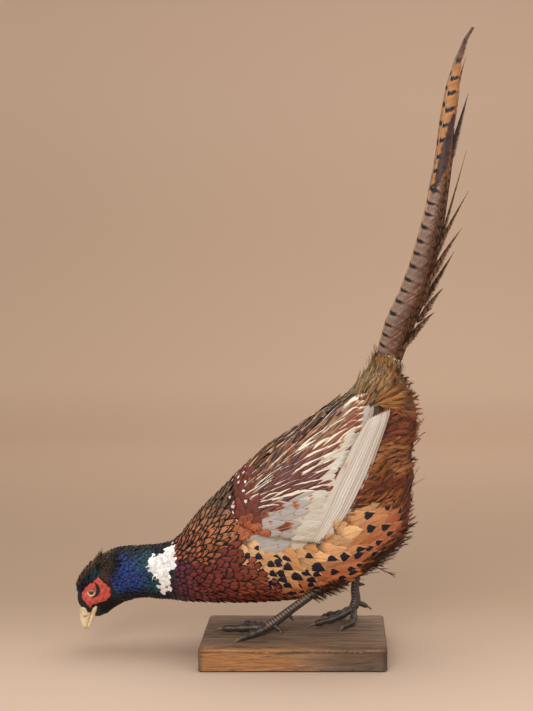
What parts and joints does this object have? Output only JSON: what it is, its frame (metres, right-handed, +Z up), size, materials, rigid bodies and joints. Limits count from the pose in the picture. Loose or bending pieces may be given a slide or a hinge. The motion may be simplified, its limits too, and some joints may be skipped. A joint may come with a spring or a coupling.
{
  "type": "taxidermy pheasant",
  "caption": "Life-size mounted cock ring-necked pheasant, head lowered and long tail raised, standing on a plain rectangular wooden base.",
  "frame": {"origin": "centre of the underside of the wooden base", "axes": "+Z up, +X from the bird's head towards its tail along the base's long side, +Y from the bird's left side to its right"},
  "size_m": [0.4465, 0.164, 0.698],
  "materials": {
    "base_wood": "dark stained, worn",
    "head_plumage": "glossy green-black feathers with red wattles",
    "neck_plumage": "glossy blue feathers with a white collar",
    "trunk_plumage": "copper, maroon and gold feathers with dark edges",
    "rump_plumage": "loose tan and chestnut feathers",
    "wing_plumage": "maroon and cream coverts over pale grey-brown quills",
    "tail_plumage": "buff feathers with black bars",
    "bill_horn": "satin horn",
    "eye_glass": "polished",
    "leg_scales": "dried, slightly glossy"
  },
  "bodies": {
    "root": {"base": "base_wood", "head": "head_plumage", "neck": "neck_plumage", "trunk": "trunk_plumage", "rump": "rump_plumage", "tail": "tail_plumage", "wing_left": "wing_plumage", "wing_right": "wing_plumage", "bill_upper": "bill_horn", "bill_lower": "bill_horn", "eye_left": "eye_glass", "eye_right": "eye_glass", "leg_left": "leg_scales", "leg_right": "leg_scales", "foot_left": "leg_scales", "foot_right": "leg_scales"}
  },
  "joints": []
}
